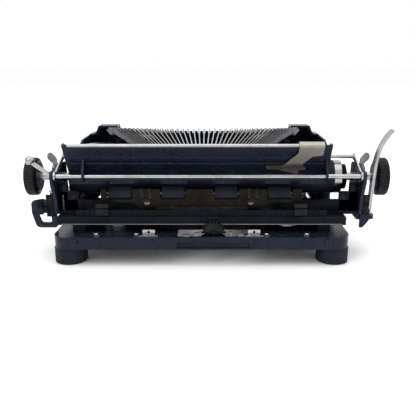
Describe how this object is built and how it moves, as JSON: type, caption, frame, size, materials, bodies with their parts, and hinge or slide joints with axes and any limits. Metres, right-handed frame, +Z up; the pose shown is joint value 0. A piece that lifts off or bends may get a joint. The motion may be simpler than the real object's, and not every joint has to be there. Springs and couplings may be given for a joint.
{
  "type": "portable typewriter",
  "caption": "Manual portable typewriter with a sliding carriage, ribbed platen knobs, return lever, fanned typebars and a four-row keyboard in a low enamelled body.",
  "frame": {"origin": "middle of the footprint box on the table under the feet", "axes": "+X to the operator's right along the platen, +Y towards the back of the machine, +Z up"},
  "size_m": [0.3616, 0.306, 0.1258],
  "materials": {
    "enamel": "glossy blue-black stove enamel",
    "black_paint": "satin black paint",
    "nickel": "worn nickel plate",
    "steel": "bare steel, lightly stained",
    "warm_steel": "steel with a warm lacquer",
    "rubber": "black rubber",
    "key_plastic": "black key discs in nickel rings",
    "knob_plastic": "black ribbed moulded plastic",
    "brass": "tarnished brass"
  },
  "bodies": {
    "frame": {"base_frame": "enamel", "rubber_feet": "rubber", "body_shell": "enamel", "ribbon_deck": "enamel", "fulcrum_shaft": "steel", "lever_comb": "steel", "frame_screws": "nickel", "segment": "steel", "typebars": "steel", "typebar_rest": "black_paint", "type_guide": "nickel", "carriage_rails": "steel", "rail_posts": "black_paint", "escapement_bracket": "nickel", "bell": "nickel"},
    "spool_left": {"ribbon_spool_left": "nickel"},
    "spool_right": {"ribbon_spool_right": "nickel"},
    "key_row_1": {"key_levers_row_1": "steel", "key_tops_row_1": "key_plastic"},
    "key_row_2": {"key_levers_row_2": "steel", "key_tops_row_2": "key_plastic"},
    "key_row_3": {"key_levers_row_3": "steel", "key_tops_row_3": "key_plastic"},
    "key_row_4": {"key_levers_row_4": "steel", "key_tops_row_4": "key_plastic"},
    "strike_key": {"strike_key": "key_plastic"},
    "backspace": {"backspace_key": "key_plastic"},
    "margin_release": {"margin_release_key": "key_plastic"},
    "shift": {"shift_key_left": "key_plastic", "shift_key_right": "key_plastic", "shift_bar": "steel"},
    "space": {"space_bar": "knob_plastic"},
    "typebar": {"strike_typebar": "steel"},
    "carrier": {"ribbon_carrier": "nickel"},
    "escapement": {"escapement_wheel": "steel"},
    "mainspring": {"mainspring_drum": "nickel"},
    "truck": {"carriage_truck": "black_paint", "escapement_rack": "steel", "margin_rail": "black_paint"},
    "stop_left": {"margin_stop_left": "nickel"},
    "stop_right": {"margin_stop_right": "nickel"},
    "carriage": {"carriage_frame": "black_paint", "carriage_end_left": "enamel", "carriage_end_right": "enamel", "tie_rod": "nickel", "feed_hanger": "warm_steel", "paper_table": "enamel", "table_strip": "nickel"},
    "platen": {"platen_roller": "rubber", "platen_shaft": "nickel", "line_ratchet": "nickel", "platen_knobs": "knob_plastic"},
    "feed": {"feed_rollers": "rubber"},
    "guide": {"paper_guide": "warm_steel"},
    "bail": {"paper_bail": "nickel"},
    "bail_roll": {"bail_rollers": "rubber"},
    "ear_left": {"carriage_release_left": "nickel"},
    "ear_right": {"carriage_release_right": "nickel"},
    "paper_free": {"paper_release": "nickel"},
    "return": {"return_lever": "nickel"}
  },
  "joints": [
    {"name": "carriage_slide", "type": "slide", "parent": "frame", "child": "truck", "axis": [1, 0, 0], "range_m": [-0.11, 0.11]},
    {"name": "carriage_shift", "type": "slide", "parent": "truck", "child": "carriage", "axis": [0, 0.6093, 0.7929], "range_m": [0, 0.006]},
    {"name": "platen_turn", "type": "hinge", "parent": "carriage", "child": "platen", "pos_m": [0.0048, 0.097, 0.076], "axis": [1, 0, 0], "continuous": true},
    {"name": "feed_roller_turn", "type": "hinge", "parent": "carriage", "child": "feed", "pos_m": [0.0048, 0.11803, 0.06286], "axis": [1, 0, 0], "continuous": true},
    {"name": "paper_bail_lift", "type": "hinge", "parent": "carriage", "child": "bail", "pos_m": [0.0048, 0.135, 0.084], "axis": [-1, 0, 0], "range_deg": [0, 55]},
    {"name": "bail_roller_turn", "type": "hinge", "parent": "bail", "child": "bail_roll", "pos_m": [0.0048, 0.1019, 0.09724], "axis": [1, 0, 0], "continuous": true},
    {"name": "return_lever_push", "type": "hinge", "parent": "carriage", "child": "return", "pos_m": [-0.1582, 0.114, 0.046], "axis": [0, 0, 1], "range_deg": [0, 34], "stiffness_Nm_per_rad": 0.2, "springref_deg": -17.19},
    {"name": "paper_release_pull", "type": "hinge", "parent": "carriage", "child": "paper_free", "pos_m": [0.1488, 0.119, 0.066], "axis": [-1, 0, 0], "range_deg": [0, 30]},
    {"name": "left_release_press", "type": "hinge", "parent": "carriage", "child": "ear_left", "pos_m": [-0.1522, 0.107, 0.086], "axis": [1, 0, 0], "range_deg": [0, 20], "stiffness_Nm_per_rad": 0.03, "springref_deg": -22.92},
    {"name": "right_release_press", "type": "hinge", "parent": "carriage", "child": "ear_right", "pos_m": [0.1488, 0.107, 0.086], "axis": [1, 0, 0], "range_deg": [0, 20], "stiffness_Nm_per_rad": 0.03, "springref_deg": -22.92},
    {"name": "paper_guide_slide", "type": "slide", "parent": "carriage", "child": "guide", "axis": [1, 0, 0], "range_m": [0, 0.1]},
    {"name": "left_margin_slide", "type": "slide", "parent": "truck", "child": "stop_left", "axis": [1, 0, 0], "range_m": [0, 0.07]},
    {"name": "right_margin_slide", "type": "slide", "parent": "truck", "child": "stop_right", "axis": [1, 0, 0], "range_m": [-0.07, 0]},
    {"name": "escapement_turn", "type": "hinge", "parent": "frame", "child": "escapement", "pos_m": [-0.0067, 0.127, 0.03112], "axis": [0, 1, 0], "range_deg": [-785, 785]},
    {"name": "mainspring_turn", "type": "hinge", "parent": "frame", "child": "mainspring", "pos_m": [0.0898, 0.105, 0.032], "axis": [0, 0, 1], "range_deg": [-460, 460]},
    {"name": "left_spool_turn", "type": "hinge", "parent": "frame", "child": "spool_left", "pos_m": [-0.1142, 0.017, 0.088], "axis": [0, 0, 1], "continuous": true},
    {"name": "right_spool_turn", "type": "hinge", "parent": "frame", "child": "spool_right", "pos_m": [0.1238, 0.017, 0.088], "axis": [0, 0, 1], "continuous": true},
    {"name": "row_1_press", "type": "hinge", "parent": "frame", "child": "key_row_1", "pos_m": [0.0048, 0.057, 0.022], "axis": [1, 0, 0], "range_deg": [0, 5.6], "stiffness_Nm_per_rad": 3, "springref_deg": -11.46},
    {"name": "row_2_press", "type": "hinge", "parent": "frame", "child": "key_row_2", "pos_m": [0.0048, 0.057, 0.022], "axis": [1, 0, 0], "range_deg": [0, 5], "stiffness_Nm_per_rad": 3, "springref_deg": -11.46},
    {"name": "row_3_press", "type": "hinge", "parent": "frame", "child": "key_row_3", "pos_m": [0.0048, 0.057, 0.022], "axis": [1, 0, 0], "range_deg": [0, 4.4], "stiffness_Nm_per_rad": 3, "springref_deg": -11.46},
    {"name": "row_4_press", "type": "hinge", "parent": "frame", "child": "key_row_4", "pos_m": [0.0048, 0.057, 0.022], "axis": [1, 0, 0], "range_deg": [0, 4], "stiffness_Nm_per_rad": 3, "springref_deg": -11.46},
    {"name": "strike_key_press", "type": "hinge", "parent": "frame", "child": "strike_key", "pos_m": [0.0048, 0.057, 0.022], "axis": [1, 0, 0], "range_deg": [0, 4.4], "stiffness_Nm_per_rad": 0.6, "springref_deg": -11.46},
    {"name": "backspace_press", "type": "hinge", "parent": "frame", "child": "backspace", "pos_m": [0.0048, 0.057, 0.022], "axis": [1, 0, 0], "range_deg": [0, 5.6], "stiffness_Nm_per_rad": 0.4, "springref_deg": -11.46},
    {"name": "margin_release_press", "type": "hinge", "parent": "frame", "child": "margin_release", "pos_m": [0.0048, 0.057, 0.022], "axis": [1, 0, 0], "range_deg": [0, 5.6], "stiffness_Nm_per_rad": 0.4, "springref_deg": -11.46},
    {"name": "space_press", "type": "hinge", "parent": "frame", "child": "space", "pos_m": [0.0048, 0.057, 0.022], "axis": [1, 0, 0], "range_deg": [0, 1.8], "stiffness_Nm_per_rad": 1.5, "springref_deg": -11.46},
    {"name": "shift_press", "type": "hinge", "parent": "frame", "child": "shift", "pos_m": [0.0048, 0.057, 0.022], "axis": [1, 0, 0], "range_deg": [0, 4]},
    {"name": "typebar_swing", "type": "hinge", "parent": "frame", "child": "typebar", "pos_m": [0.0048, 0.01304, 0.04098], "axis": [-1, 0, 0], "range_deg": [0, 97]},
    {"name": "carrier_lift", "type": "slide", "parent": "frame", "child": "carrier", "axis": [0, 0, 1], "range_m": [0, 0.008]}
  ],
  "couplings": [
    {"joint": "feed_roller_turn", "follows": "platen_turn", "ratio": -2.0625},
    {"joint": "escapement_turn", "follows": "carriage_slide", "rad_per_m": 123.68},
    {"joint": "mainspring_turn", "follows": "carriage_slide", "rad_per_m": 71.429},
    {"joint": "shift_press", "follows": "carriage_shift", "rad_per_m": 11.606},
    {"joint": "typebar_swing", "follows": "strike_key_press", "ratio": 22.023},
    {"joint": "carrier_lift", "follows": "strike_key_press", "m_per_rad": 0.10404}
  ]
}
